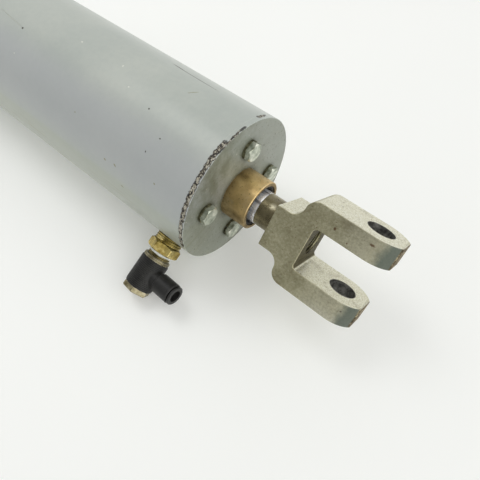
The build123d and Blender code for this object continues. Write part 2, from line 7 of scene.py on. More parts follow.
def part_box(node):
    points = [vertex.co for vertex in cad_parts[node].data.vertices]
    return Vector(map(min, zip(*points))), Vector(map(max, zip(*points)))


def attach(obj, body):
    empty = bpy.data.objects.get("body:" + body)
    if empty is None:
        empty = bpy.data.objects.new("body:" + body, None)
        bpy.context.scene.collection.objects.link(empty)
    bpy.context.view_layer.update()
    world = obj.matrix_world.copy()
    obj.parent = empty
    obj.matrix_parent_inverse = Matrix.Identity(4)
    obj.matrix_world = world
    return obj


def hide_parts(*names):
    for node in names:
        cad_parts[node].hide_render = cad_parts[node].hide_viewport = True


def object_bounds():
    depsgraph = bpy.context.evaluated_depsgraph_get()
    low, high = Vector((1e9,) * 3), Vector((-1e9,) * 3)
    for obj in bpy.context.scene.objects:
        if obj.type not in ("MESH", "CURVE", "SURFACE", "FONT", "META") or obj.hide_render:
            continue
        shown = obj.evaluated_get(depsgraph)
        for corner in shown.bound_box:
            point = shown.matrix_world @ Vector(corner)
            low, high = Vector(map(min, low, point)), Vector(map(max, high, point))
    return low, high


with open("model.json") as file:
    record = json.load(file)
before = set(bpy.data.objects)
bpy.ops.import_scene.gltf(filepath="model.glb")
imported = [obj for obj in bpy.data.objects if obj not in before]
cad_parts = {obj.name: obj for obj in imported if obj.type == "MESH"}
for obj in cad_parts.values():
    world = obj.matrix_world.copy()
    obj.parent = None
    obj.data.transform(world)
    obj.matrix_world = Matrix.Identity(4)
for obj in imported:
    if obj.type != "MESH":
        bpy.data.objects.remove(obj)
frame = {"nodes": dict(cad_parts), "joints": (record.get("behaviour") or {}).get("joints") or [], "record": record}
cad_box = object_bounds()
NODES = frame["nodes"]
RECORD = frame["record"]
JOINTS = {joint["name"]: joint for joint in frame["joints"]}
MOUNTS = {mount["name"]: mount for mount in RECORD["mounts"]}
MM = 0.001

# ---- places on the object, from the frame ----------------------------------------------------
ROD_AXIS = Vector((1, 0, 0))
BARREL_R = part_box("barrel_tube")[1][2]
COVER_X0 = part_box("front_cover")[0][0]
COVER_X1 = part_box("front_cover")[1][0]
CLEVIS_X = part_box("rod_clevis")[0][0]
STUD_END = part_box("piston_rod")[1][0]
PIN_AT = Vector(MOUNTS["rod_pin"]["pos_m"])
PIN_R = MOUNTS["rod_pin"]["dims"]["r_mm"] * MM
FORK_P = Vector(MOUNTS["rod_pin"]["axis"]).normalized()
FORK_N = ROD_AXIS.cross(FORK_P)
FLOOR_Z = cad_box[0][2]

# sizes of the rod and the clevis that the frame doesn't hold
NECK_R = 12.6 * MM
NECK_LEN = 14.3 * MM
SLOT_X = CLEVIS_X + 42.4 * MM
STUD_R = 9.5 * MM
# between the stud's radius and the rod's, and just inside half the slot's width
STUD_LIMIT_R = 11.5 * MM
SLOT_LIMIT = 15.6 * MM


# ---- camera ----------------------------------------------------------------------------------
def place_camera(at, azimuth, elevation, lens):
    """Camera that looks from azimuth, turned from -Y towards +X, and down by elevation."""
    back = Vector(
        (
            math.sin(azimuth) * math.cos(elevation),
            -math.cos(azimuth) * math.cos(elevation),
            math.sin(elevation),
        )
    )
    right = (-back).cross(Vector((0, 0, 1))).normalized()
    turned = Matrix((right, right.cross(-back), back)).transposed().to_4x4()
    data = bpy.data.cameras.new("camera")
    data.lens = lens
    data.sensor_width = 36.0
    data.clip_start = 0.01
    camera = bpy.data.objects.new("camera", data)
    camera.matrix_world = Matrix.Translation(at) @ turned
    bpy.context.scene.collection.objects.link(camera)
    bpy.context.scene.camera = camera


place_camera(
    at=Vector((0.58652, -0.14111, 0.24751)),
    azimuth=math.radians(39.95),
    elevation=math.radians(59.78),
    lens=31.82,
)
bpy.context.scene.view_settings.view_transform = "Standard"


# ---- procedural materials, one short call per node -------------------------------------------
class Look:
    """Node material on a Principled shader. Values are sockets or numbers, lengths in metres."""

    def __init__(self, name):
        self.mat = bpy.data.materials.new(name)
        self.mat.use_nodes = True
        self.tree = self.mat.node_tree
        self.shader = self.tree.nodes["Principled BSDF"]
        coords = self.tree.nodes.new("ShaderNodeTexCoord")
        self.place = coords.outputs["Object"]
        self.normal = coords.outputs["Normal"]

    def put(self, socket, value):
        if isinstance(value, bpy.types.NodeSocket):
            self.tree.links.new(value, socket)
        elif hasattr(value, "__len__") and len(value) == 3 and socket.type == "RGBA":
            socket.default_value = (*value, 1)
        else:
            socket.default_value = value

    def math(self, operation, a, b=0.0, c=0.0, clamp=False):
        node = self.tree.nodes.new("ShaderNodeMath")
        node.operation = operation
        node.use_clamp = clamp
        for socket, value in zip(node.inputs, (a, b, c)):
            self.put(socket, value)
        return node.outputs[0]

    def times(self, a, b):
        return self.math("MULTIPLY", a, b)

    def plus(self, a, b):
        return self.math("ADD", a, b)

    def times_plus(self, a, b, c):
        return self.math("MULTIPLY_ADD", a, b, c)

    def outside(self, mask):
        return self.math("SUBTRACT", 1.0, mask)

    def vector(self, operation, a, b=(0, 0, 0)):
        node = self.tree.nodes.new("ShaderNodeVectorMath")
        node.operation = operation
        self.put(node.inputs[0], a)
        self.put(node.inputs[1], b)
        return node.outputs["Value" if operation in ("LENGTH", "DOT_PRODUCT") else "Vector"]

    def split(self, value):
        node = self.tree.nodes.new("ShaderNodeSeparateXYZ")
        self.put(node.inputs[0], value)
        return node.outputs[0], node.outputs[1], node.outputs[2]

    def join(self, x, y, z=0.0):
        node = self.tree.nodes.new("ShaderNodeCombineXYZ")
        for socket, value in zip(node.inputs, (x, y, z)):
            self.put(socket, value)
        return node.outputs[0]

    def noise(self, scale, detail=3.0, rough=0.5, at=None, stretch=(1, 1, 1), shift=(0, 0, 0)):
        node = self.tree.nodes.new("ShaderNodeTexNoise")
        at = self.place if at is None else at
        if stretch != (1, 1, 1):
            at = self.vector("MULTIPLY", at, stretch)
        if shift != (0, 0, 0):
            at = self.vector("ADD", at, shift)
        self.put(node.inputs["Vector"], at)
        node.inputs["Scale"].default_value = scale
        node.inputs["Detail"].default_value = detail
        node.inputs["Roughness"].default_value = rough
        return node.outputs["Fac"]

    def smooth(self, value, low, high, start=0.0, end=1.0):
        node = self.tree.nodes.new("ShaderNodeMapRange")
        node.interpolation_type = "SMOOTHSTEP"
        for name, number in (("From Min", low), ("From Max", high), ("To Min", start), ("To Max", end)):
            self.put(node.inputs[name], number)
        self.put(node.inputs["Value"], value)
        return node.outputs[0]

    def band(self, value, low, high, soft):
        rise = self.smooth(value, low - soft, low + soft)
        fall = self.smooth(value, high - soft, high + soft, 1.0, 0.0)
        return self.times(rise, fall)

    def ramp(self, value, *stops):
        node = self.tree.nodes.new("ShaderNodeValToRGB")
        points = node.color_ramp.elements
        while len(points) < len(stops):
            points.new(0.5)
        for point, (at, colour) in zip(points, stops):
            point.position = at
            point.color = (*colour, 1)
        self.put(node.inputs[0], value)
        return node.outputs[0]

    def mix(self, factor, a, b, blend="MIX"):
        node = self.tree.nodes.new("ShaderNodeMix")
        node.data_type = "RGBA"
        node.blend_type = blend
        self.put(node.inputs[0], factor)
        self.put(node.inputs[6], a)
        self.put(node.inputs[7], b)
        return node.outputs[2]

    def tint(self, colour, mask, amount, towards):
        """The colour drawn towards another one by amount where the mask is 1."""
        return self.mix(self.times(mask, amount), colour, towards)

    def edge(self, radius, low=0.02, high=0.25):
        """1 along convex and concave edges, 0 on open faces."""
        bevel = self.tree.nodes.new("ShaderNodeBevel")
        bevel.samples = 6
        bevel.inputs["Radius"].default_value = radius
        shape = self.tree.nodes.new("ShaderNodeNewGeometry")
        flat = self.vector("DOT_PRODUCT", bevel.outputs[0], shape.outputs["Normal"])
        return self.smooth(self.outside(flat), low, high)

    def hollow_shade(self, distance, low=0.55, high=0.95):
        """1 in corners and gaps, where painted shade darkens the colour, 0 in the open."""
        node = self.tree.nodes.new("ShaderNodeAmbientOcclusion")
        node.samples = 8
        node.inputs["Distance"].default_value = distance
        return self.smooth(node.outputs["AO"], low, high, 1.0, 0.0)

    def bump(self, height, distance, strength=1.0, under=None):
        node = self.tree.nodes.new("ShaderNodeBump")
        node.inputs["Strength"].default_value = strength
        node.inputs["Distance"].default_value = distance
        self.put(node.inputs["Height"], height)
        if under is not None:
            self.put(node.inputs["Normal"], under)
        return node.outputs[0]

    def done(self, colour, roughness, normal, **constants):
        self.put(self.shader.inputs["Base Color"], colour)
        self.put(self.shader.inputs["Roughness"], roughness)
        self.put(self.shader.inputs["Normal"], normal)
        for name, value in constants.items():
            self.shader.inputs[name.replace("_", " ").title().replace("Ior", "IOR")].default_value = value
        return self.mat

    def around(self):
        """x, and the angle about the X axis in radians, from the top towards -Y."""
        x, y, z = self.split(self.place)
        return x, self.math("ARCTAN2", self.times(y, -1.0), z)

    def mark(self, flat, x, turn, length, width, lean=0.0, ragged=0.35):
        """1 inside one small ragged mark on the barrel's unrolled surface."""
        centre = (x, math.radians(turn) * BARREL_R, 0)
        node = self.tree.nodes.new("ShaderNodeMapping")
        node.vector_type = "TEXTURE"
        node.inputs["Location"].default_value = centre
        node.inputs["Rotation"].default_value = (0, 0, math.radians(lean))
        node.inputs["Scale"].default_value = (length / 2, width / 2, 1)
        self.put(node.inputs["Vector"], flat)
        reach = self.vector("LENGTH", node.outputs[0])
        reach = self.plus(reach, self.times(self.noise(1900, 2), ragged * 2))
        return self.smooth(reach, 0.75 + ragged, 1.15 + ragged, 1.0, 0.0)

    def any_of(self, masks):
        total = masks[0]
        for mask in masks[1:]:
            total = self.math("MAXIMUM", total, mask)
        return total


# ---- paint on the barrel and the covers ------------------------------------------------------
# Marks on the barrel: distance from the cover's front face (mm, negative towards the rear),
# angle from the top towards -Y (degrees), length and width (mm) and lean (degrees).
PALE_MARKS = (
    (-143, 3, 1.6, 1.2, 20),
    (-101, 2, 1.5, 1.1, 70),
    (-84, 13, 1.3, 1.0, 0),
    (-188, 38, 1.2, 0.8, 10),
)
DARK_MARKS = (
    (-60, 18, 1.3, 1.0, 30),
    (-40, 30, 1.2, 0.9, 0),
    (-45, 42, 1.4, 0.8, 80),
    (-194, 19, 1.8, 1.5, 0),
    (-60, -28, 42.0, 0.75, 1),
    (-78, -29, 12.0, 0.7, 4),
)
TAN_MARKS = (
    (-47, -10.5, 8.3, 0.7, -57),
    (-76, 65, 2.2, 1.4, 15),
    (-66, 64, 2.6, 1.5, 40),
    (-58, 77, 3.0, 1.2, 10),
    (-112, 48, 1.2, 0.9, 0),
    (-30, 57, 1.6, 1.1, 30),
)
LONG_SCRATCH = (-210, 17, 34.0, 0.35, 6)


def paint(name):
    look = Look(name)
    x, angle = look.around()
    turn = look.math("DEGREES", angle)
    flat = look.join(x, look.times(angle, BARREL_R))
    front_face = look.smooth(look.split(look.normal)[0], 0.8, 0.9)
    on_side = look.outside(front_face)
    broad = look.noise(17, 4, 0.55)
    fine = look.noise(260, 3)
    tone = look.plus(look.times(broad, 0.75), look.times(fine, 0.25))
    colour = look.ramp(tone, (0.34, (0.425, 0.462, 0.430)), (0.66, (0.500, 0.530, 0.485)))
    grain = look.smooth(look.noise(1500, 2), 0.60, 0.72)
    colour = look.tint(colour, grain, 0.10, (0.24, 0.26, 0.22))

    # cooler grey on the near side, greener and stained low down
    cool = look.band(turn, 26.0, 71.0, 12.0)
    colour = look.tint(colour, cool, 0.55, (0.448, 0.462, 0.490))
    low = look.smooth(look.times_plus(broad, 8.0, turn), 76.0, 82.0)
    colour = look.tint(colour, low, 0.50, (0.440, 0.470, 0.385))
    drip = look.noise(1, 3, 0.6, at=look.join(look.times(x, 22.0), look.times(turn, 0.55)))
    drip = look.times(look.smooth(drip, 0.52, 0.68), look.band(turn, 84.0, 118.0, 6.0))
    colour = look.tint(colour, drip, 0.55, (0.330, 0.335, 0.200))

    # olive darkening on the front face, heaviest towards -Y and the top; the corners darkened as painted shade
    y, z = look.split(look.place)[1:]
    side = look.smooth(y, -30 * MM, 52 * MM, 1.0, 0.0)
    high = look.smooth(z, -45 * MM, 40 * MM)
    # the whole front face darkened: painted shade for a face turned from the light, and partly grime
    colour = look.mix(front_face, colour, look.mix(0.9, colour, (0.52, 0.52, 0.48), "MULTIPLY"))
    film = look.times_plus(side, look.times(high, 0.45), 0.16)
    cloud = look.smooth(look.noise(46, 6, 0.7), 0.34, 0.66, 0.40, 1.45)
    film = look.math("MULTIPLY", look.times(film, cloud), front_face, clamp=True)
    colour = look.mix(film, colour, (0.105, 0.110, 0.068))
    # painted shade in the corners round the bolt heads and the gland, broken up by noise
    corner = look.times(look.hollow_shade(0.006, 0.45, 0.98), front_face)
    corner = look.times(corner, look.smooth(look.noise(300, 3), 0.25, 0.6, 0.5, 1.0))
    colour = look.mix(corner, colour, (0.055, 0.058, 0.028))
    freckle = look.smooth(look.noise(520, 4, 0.65), 0.61, 0.66)
    freckle = look.times(freckle, front_face)
    colour = look.tint(colour, freckle, 0.62, (0.065, 0.060, 0.030))
    pale_dot = look.smooth(look.noise(430, 3, 0.6, shift=(3, 1, 2)), 0.68, 0.73)
    pale_dot = look.times(pale_dot, front_face)
    colour = look.tint(colour, pale_dot, 0.6, (0.46, 0.45, 0.36))

    # small knocks and scratches
    def marks(table, ragged=0.35):
        masks = [
            look.mark(flat, COVER_X1 + ahead * MM, at, length * MM, width * MM, lean, ragged)
            for ahead, at, length, width, lean in table
        ]
        return look.any_of(masks)

    pale = look.times(marks(PALE_MARKS), on_side)
    dark = look.times(marks(DARK_MARKS), on_side)
    tan = look.times(marks(TAN_MARKS, 0.6), on_side)
    scratch = look.times(look.times(marks([LONG_SCRATCH], 0.2), 0.7), on_side)
    colour = look.mix(pale, colour, (0.72, 0.73, 0.66))
    colour = look.mix(scratch, colour, (0.62, 0.62, 0.53))
    colour = look.tint(colour, tan, 0.8, (0.255, 0.240, 0.120))
    colour = look.mix(dark, colour, (0.050, 0.044, 0.030))

    # paint chipped off the front rim down to rust, filler and bare metal
    rough_edge = look.times(look.math("SUBTRACT", look.noise(330, 4, 0.65), 0.5), 0.0042)
    ragged_x = look.plus(x, rough_edge)
    ragged_turn = look.times_plus(look.math("SUBTRACT", look.noise(120, 3), 0.5), 16.0, turn)
    long_chip = look.times(
        look.band(ragged_x, COVER_X0 + 0.2 * MM, COVER_X1 - 0.7 * MM, 0.35 * MM),
        look.band(ragged_turn, 8.0, 97.0, 1.5),
    )
    thin_chip = look.times(
        look.band(ragged_x, COVER_X1 - 1.3 * MM, COVER_X1 - 0.1 * MM, 0.25 * MM),
        look.band(ragged_turn, -6.0, 12.0, 2.0),
    )
    small_chip = look.times(
        look.band(ragged_x, COVER_X0 - 0.2 * MM, COVER_X0 + 1.9 * MM, 0.3 * MM),
        look.band(ragged_turn, -32.0, -24.0, 1.5),
    )
    chip = look.times(look.any_of([long_chip, thin_chip, small_chip]), on_side)
    chip = look.times(chip, look.smooth(look.noise(240, 4, 0.7, shift=(5, 5, 5)), 0.30, 0.38))
    under = look.ramp(
        look.noise(430, 4, 0.7, stretch=(1.6, 1, 1)),
        (0.40, (0.010, 0.010, 0.011)),
        (0.48, (0.045, 0.034, 0.026)),
        (0.53, (0.260, 0.235, 0.160)),
        (0.58, (0.700, 0.680, 0.600)),
        (0.64, (0.210, 0.160, 0.080)),
        (0.72, (0.020, 0.018, 0.018)),
    )
    # a near-black line round each chip: painted shadow of the broken paint edge
    chip_edge_shadow = look.times(look.band(chip, 0.15, 0.75, 0.15), 0.85)
    # pale line along the rim's edge: painted highlight, partly worn paint
    rim = look.times(look.edge(0.0008, 0.03, 0.30), look.smooth(look.noise(130, 3), 0.35, 0.6))
    colour = look.tint(colour, rim, 0.55, (0.74, 0.75, 0.69))
    colour = look.mix(chip, colour, under)
    colour = look.mix(chip_edge_shadow, colour, (0.018, 0.016, 0.014))

    peel = look.bump(look.noise(340, 2), 0.0004, 0.10)
    worn = look.outside(look.any_of([chip, dark, scratch]))
    relief = look.bump(look.times_plus(fine, 0.05, worn), 0.0003, 0.9, peel)
    rough = look.times_plus(broad, 0.16, 0.25)
    rough = look.plus(rough, look.times(look.any_of([chip, film]), 0.22))
    return look.done(colour, rough, relief, metallic=0.0, ior=1.5)


# ---- metals ----------------------------------------------------------------------------------
def bronze(name):
    look = Look(name)
    x, angle = look.around()
    turn = look.math("DEGREES", angle)
    stain = look.noise(75, 5, 0.6)
    colour = look.ramp(
        stain, (0.34, (0.640, 0.440, 0.190)), (0.52, (0.800, 0.580, 0.270)), (0.68, (0.900, 0.700, 0.390))
    )
    smear = look.smooth(look.noise(40, 4, 0.6, shift=(2, 0, 1)), 0.50, 0.66)
    colour = look.tint(colour, smear, 0.12, (0.330, 0.235, 0.110))
    # painted shade: darker on the low -Y side, underneath, on the front end face and near the cover, broken up in
    # patches
    low_side_shade = look.times(look.smooth(turn, 28.0, 85.0), 0.70)
    underside_shade = look.times(look.smooth(look.math("ABSOLUTE", turn), 100.0, 150.0), 0.8)
    end_face_shade = look.times(look.smooth(look.split(look.normal)[0], 0.6, 0.9), 0.72)
    root = look.smooth(x, COVER_X1 + 0.3 * MM, COVER_X1 + 9.0 * MM, 0.62, 0.0)
    bronze_shade = look.any_of([low_side_shade, underside_shade, end_face_shade, root])
    patches = look.smooth(look.noise(160, 4, 0.6), 0.25, 0.7, 0.6, 1.1)
    bronze_shade = look.math("MULTIPLY", bronze_shade, patches, clamp=True)
    colour = look.mix(bronze_shade, colour, (0.080, 0.058, 0.026))
    speck = look.smooth(look.noise(760, 3, 0.65), 0.62, 0.68)
    colour = look.tint(colour, speck, 0.7, (0.060, 0.045, 0.020))
    rim = look.edge(0.0006, 0.04, 0.30)
    colour = look.tint(colour, rim, 0.45, (0.72, 0.56, 0.34))
    turned = look.noise(1, 2, 0.6, at=look.join(look.times(x, 2600.0), look.times(turn, 0.03)))
    relief = look.bump(turned, 0.00012, 0.55)
    relief = look.bump(look.plus(stain, speck), 0.00025, 0.35, relief)
    rough = look.times_plus(bronze_shade, 0.25, look.times_plus(stain, 0.16, 0.24))
    return look.done(colour, rough, relief, metallic=1.0)


def zinc(name):
    look = Look(name)
    cloud = look.noise(210, 4, 0.6)
    colour = look.ramp(
        cloud, (0.34, (0.270, 0.300, 0.235)), (0.50, (0.500, 0.535, 0.445)), (0.66, (0.780, 0.795, 0.700))
    )
    speck = look.smooth(look.noise(900, 3, 0.6), 0.60, 0.68)
    colour = look.tint(colour, speck, 0.55, (0.240, 0.250, 0.150))
    # edges lightened as a painted highlight, pale in places and gold in others
    rim = look.edge(0.0007, 0.03, 0.25)
    gilt = look.smooth(look.noise(150, 2, shift=(1, 4, 2)), 0.45, 0.62)
    colour = look.tint(colour, rim, 0.7, look.mix(gilt, (0.78, 0.79, 0.70), (0.56, 0.47, 0.16)))
    # painted shade round the foot of each bolt head
    foot = look.hollow_shade(0.003, 0.35, 0.9)
    colour = look.tint(colour, foot, 0.75, (0.100, 0.096, 0.040))
    relief = look.bump(look.plus(cloud, look.times(speck, 0.5)), 0.00025, 0.5)
    rough = look.times_plus(cloud, 0.30, 0.24)
    return look.done(colour, rough, relief, metallic=0.85)


def brass(name):
    look = Look(name)
    cloud = look.noise(150, 4, 0.6)
    colour = look.ramp(
        cloud, (0.36, (0.230, 0.165, 0.040)), (0.50, (0.540, 0.410, 0.120)), (0.62, (0.840, 0.700, 0.330))
    )
    dull = look.smooth(look.noise(70, 3, shift=(7, 2, 3)), 0.48, 0.66)
    colour = look.tint(colour, dull, 0.45, (0.270, 0.235, 0.100))
    # painted shade in the gaps next to the barrel and between the parts
    gap = look.hollow_shade(0.0060, 0.40, 0.93)
    colour = look.tint(colour, gap, 0.94, (0.035, 0.032, 0.006))
    # bright edges: painted highlight
    rim = look.edge(0.0005, 0.04, 0.30)
    colour = look.tint(colour, rim, 0.55, (0.93, 0.84, 0.54))
    drawn = look.noise(700, 2, 0.5, stretch=(0.15, 1, 1))
    relief = look.bump(look.plus(drawn, cloud), 0.00012, 0.45)
    rough = look.times_plus(gap, 0.30, look.times_plus(cloud, 0.22, 0.14))
    return look.done(colour, rough, relief, metallic=1.0)


def stem_brass(name):
    """Duller, greyer brass of the fitting's hollow stem."""
    look = Look(name)
    cloud = look.noise(190, 5, 0.65)
    colour = look.ramp(
        cloud, (0.34, (0.150, 0.128, 0.068)), (0.50, (0.290, 0.255, 0.152)), (0.66, (0.500, 0.450, 0.310))
    )
    # painted shade in the gaps of the stem
    gap = look.hollow_shade(0.002, 0.30, 0.92)
    colour = look.tint(colour, gap, 0.85, (0.050, 0.042, 0.014))
    # bright edges of the hexagon: painted highlight
    rim = look.edge(0.0006, 0.03, 0.28)
    colour = look.tint(colour, rim, 0.75, (0.90, 0.84, 0.66))
    scuff = look.noise(1100, 3, 0.6)
    relief = look.bump(look.plus(scuff, cloud), 0.00015, 0.5)
    rough = look.times_plus(cloud, 0.30, 0.24)
    return look.done(colour, rough, relief, metallic=1.0)


def chrome(name):
    look = Look(name)
    x, angle = look.around()
    turn = look.math("DEGREES", angle)
    haze = look.noise(90, 4, 0.6)
    # bands running along the rod, from dark grey to near white: painted reflections, with a grey haze over them
    around = look.join(look.times(turn, 0.042), look.times(x, 12.0))
    streak = look.noise(1, 2, 0.45, at=around, shift=(0.6, 0, 0))
    colour = look.ramp(
        streak, (0.38, (0.30, 0.30, 0.32)), (0.44, (0.78, 0.80, 0.84)), (0.53, (0.97, 0.98, 1.00))
    )
    colour = look.tint(colour, look.smooth(haze, 0.45, 0.7), 0.30, (0.55, 0.56, 0.58))
    from_axis = look.vector("LENGTH", look.vector("MULTIPLY", look.place, (0, 1, 1)))
    stud = look.smooth(from_axis, STUD_LIMIT_R - 0.3 * MM, STUD_LIMIT_R + 0.3 * MM, 1.0, 0.0)
    colour = look.mix(stud, colour, (0.060, 0.050, 0.030))
    rim = look.edge(0.0004, 0.05, 0.35)
    colour = look.tint(colour, rim, 0.4, (0.30, 0.27, 0.22))
    relief = look.bump(streak, 0.00005, 0.25)
    rough = look.times_plus(stud, 0.35, look.times_plus(haze, 0.14, 0.20))
    return look.done(colour, rough, relief, metallic=0.62)


# Rust spots on the clevis: distance from its rear end and across the fork (mm), radius (mm),
# and a factor that is under 1 where the spot is drawn out along the rod's axis.
RUST_SPOTS = (
    (53.3, 22.8, 0.85, 1.0),
    (76.9, 26.7, 0.90, 0.5),
    (83.2, -21.4, 0.65, 1.0),
    (64.0, 19.0, 0.35, 1.0),
)


def clevis_steel(name):
    """Bar steel: faces_n are the broad faces of the fork, faces_p face along the pin."""
    look = Look(name)
    x, angle = look.around()
    along = look.math("SUBTRACT", x, CLEVIS_X)
    across = look.vector("DOT_PRODUCT", look.place, tuple(FORK_P))
    through = look.vector("DOT_PRODUCT", look.place, tuple(FORK_N))
    facing_n = look.math("ABSOLUTE", look.vector("DOT_PRODUCT", look.normal, tuple(FORK_N)))
    facing_p = look.math("ABSOLUTE", look.vector("DOT_PRODUCT", look.normal, tuple(FORK_P)))
    faces_n = look.smooth(facing_n, 0.25, 0.75)
    faces_p = look.smooth(facing_p, 0.80, 0.95)

    # tarnished bar: greenish tan; the faces across the pin, which look up, painted paler as painted light
    broad = look.noise(52, 5, 0.6)
    fine = look.noise(620, 4, 0.7)
    tone = look.plus(look.times(broad, 0.5), look.times(fine, 0.5))
    colour = look.ramp(
        tone, (0.38, (0.320, 0.296, 0.182)), (0.50, (0.430, 0.405, 0.262)), (0.62, (0.560, 0.536, 0.370))
    )
    # painted light: the upward faces across the pin lighter than the rest
    pale = look.ramp(
        look.noise(950, 4, 0.75),
        (0.36, (0.600, 0.565, 0.400)),
        (0.50, (0.840, 0.820, 0.660)),
        (0.62, (1.0, 1.0, 0.92)),
    )
    colour = look.tint(colour, faces_p, 0.80, pale)
    cloud = look.smooth(look.noise(75, 5, 0.65, shift=(4, 4, 1)), 0.52, 0.68)
    colour = look.tint(colour, cloud, 0.34, (0.290, 0.250, 0.150))
    salt = look.smooth(look.noise(700, 3, 0.6, shift=(1, 1, 8)), 0.62, 0.70)
    colour = look.tint(colour, salt, 0.30, (0.78, 0.77, 0.66))
    pepper = look.smooth(look.noise(560, 4, 0.65, shift=(6, 2, 2)), 0.62, 0.69)
    colour = look.tint(colour, pepper, 0.65, (0.130, 0.088, 0.040))

    # rubbed bright towards the ears
    rubbed = look.times(look.smooth(along, 48.0 * MM, 74.0 * MM), look.smooth(fine, 0.35, 0.60, 0.45, 0.75))
    rubbed = look.times(rubbed, look.smooth(across, -22 * MM, -34 * MM, 0.35, 1.0))
    colour = look.tint(colour, rubbed, faces_n, (0.86, 0.84, 0.70))

    # rust spots on the face that looks up
    here = look.join(along, across)
    wobble = look.times(look.noise(480, 3), 0.0016)
    spots = []
    for spot_x, spot_p, spot_r, stretch in RUST_SPOTS:
        gap = look.vector("SUBTRACT", here, (spot_x * MM, spot_p * MM, 0))
        gap = look.vector("MULTIPLY", gap, (stretch, 1.0, 0.0))
        reach = look.plus(look.vector("LENGTH", gap), wobble)
        spots.append(look.smooth(reach, (spot_r + 0.4) * MM, (spot_r + 1.2) * MM, 1.0, 0.0))
    spots = look.times(look.any_of(spots), faces_n)
    colour = look.tint(colour, spots, 0.85, (0.115, 0.055, 0.024))

    # darker, teal towards the rounded ends of the ears as painted shade, then a rusty sawn band at the very tips
    end_noise = look.times(look.math("SUBTRACT", look.noise(150, 4), 0.5), 0.006)
    ragged = look.plus(along, end_noise)
    ear_end_shade = look.smooth(ragged, 78.0 * MM, 87.0 * MM)
    ear_end_shade = look.times(ear_end_shade, look.outside(faces_p))
    colour = look.tint(colour, ear_end_shade, 0.88, (0.070, 0.092, 0.080))
    tip = look.smooth(look.times_plus(end_noise, 0.15, along), 91.3 * MM, 92.0 * MM)
    tip = look.times(tip, look.outside(look.times(faces_p, 0.8)))
    rust = look.ramp(
        look.noise(330, 4, 0.7),
        (0.36, (0.050, 0.036, 0.018)),
        (0.50, (0.150, 0.110, 0.058)),
        (0.62, (0.480, 0.410, 0.260)),
    )
    colour = look.tint(colour, tip, 0.90, rust)

    # dark brown neck; slot end and pin holes darkened as painted shade in these recesses
    neck = look.smooth(look.times_plus(end_noise, 0.2, along), NECK_LEN - 0.6 * MM, NECK_LEN, 1.0, 0.0)
    brown = look.ramp(broad, (0.38, (0.070, 0.054, 0.024)), (0.62, (0.230, 0.195, 0.105)))
    colour = look.tint(colour, neck, 0.88, brown)
    # a pale painted highlight on the neck
    from_highlight = look.join(look.math("SUBTRACT", along, 8.6 * MM), look.times_plus(angle, NECK_R, -1.9 * MM))
    highlight_reach = look.times_plus(fine, 0.003, look.vector("LENGTH", from_highlight))
    neck_highlight = look.times(look.smooth(highlight_reach, 1.2 * MM, 5.2 * MM, 1.0, 0.0), neck)
    colour = look.tint(colour, neck_highlight, 0.75, (0.78, 0.73, 0.54))
    # near-black slot end: painted shade in the slot's recess
    slot_end = look.times(
        look.band(x, SLOT_X - 6.0 * MM, SLOT_X + 1.6 * MM, 0.6 * MM), look.outside(faces_n)
    )
    streak = look.noise(1, 3, 0.6, at=look.join(look.times(across, 1500.0), look.times(through, 60.0)))
    wall = look.ramp(streak, (0.38, (0.022, 0.018, 0.007)), (0.58, (0.095, 0.080, 0.036)))
    off_middle = look.math("ABSOLUTE", across)
    in_slot = look.smooth(off_middle, SLOT_LIMIT - 0.6 * MM, SLOT_LIMIT + 0.6 * MM, 1.0, 0.0)
    slot_end = look.times(slot_end, in_slot)
    colour = look.tint(colour, slot_end, 0.92, wall)
    # dark pin bores: painted shade inside the holes
    from_pin = look.vector("SUBTRACT", look.place, tuple(PIN_AT))
    sideways = look.vector("CROSS_PRODUCT", from_pin, tuple(FORK_P))
    hole = look.smooth(look.vector("LENGTH", sideways), PIN_R + 0.1 * MM, PIN_R + 0.35 * MM, 1.0, 0.0)
    bore = look.ramp(look.noise(260, 4, 0.6), (0.36, (0.085, 0.083, 0.078)), (0.62, (0.300, 0.295, 0.275)))
    colour = look.mix(hole, colour, bore)
    rim = look.edge(0.0006, 0.03, 0.25)
    rim = look.times(rim, look.outside(look.any_of([slot_end, neck])))
    colour = look.tint(colour, rim, 0.50, (0.76, 0.74, 0.62))

    pit = look.plus(look.times(fine, 0.8), look.times(pepper, -0.5))
    relief = look.bump(pit, 0.00035, 0.45)
    relief = look.bump(look.times_plus(spots, 0.5, broad), 0.0008, 0.25, relief)
    worn = look.any_of([look.times(tip, 0.9), look.times(spots, 0.9), look.times(slot_end, 0.7)])
    rough = look.times_plus(worn, 0.30, look.times_plus(tone, 0.35, 0.25))
    rough = look.times_plus(neck, -0.14, rough)
    return look.done(colour, rough, relief, metallic=0.80)


def machined(name, dark, light, rough_low):
    """Turned inner part: fine tool lines about the cylinder's axis, oil film in patches."""
    look = Look(name)
    line_scale = 1900.0
    x = look.split(look.place)[0]
    film = look.noise(60, 4, 0.6)
    colour = look.ramp(film, (0.32, dark), (0.66, light))
    reach = look.vector("LENGTH", look.vector("MULTIPLY", look.place, (0, 1, 1)))
    lines = look.noise(1, 2, 0.6, at=look.join(look.times(x, line_scale), look.times(reach, line_scale)))
    rim = look.edge(0.0006, 0.04, 0.30)
    colour = look.tint(colour, rim, 0.45, (0.85, 0.85, 0.83))
    relief = look.bump(lines, 0.00012, 0.5)
    rough = look.times_plus(film, 0.22, rough_low)
    return look.done(colour, rough, relief, metallic=0.95)


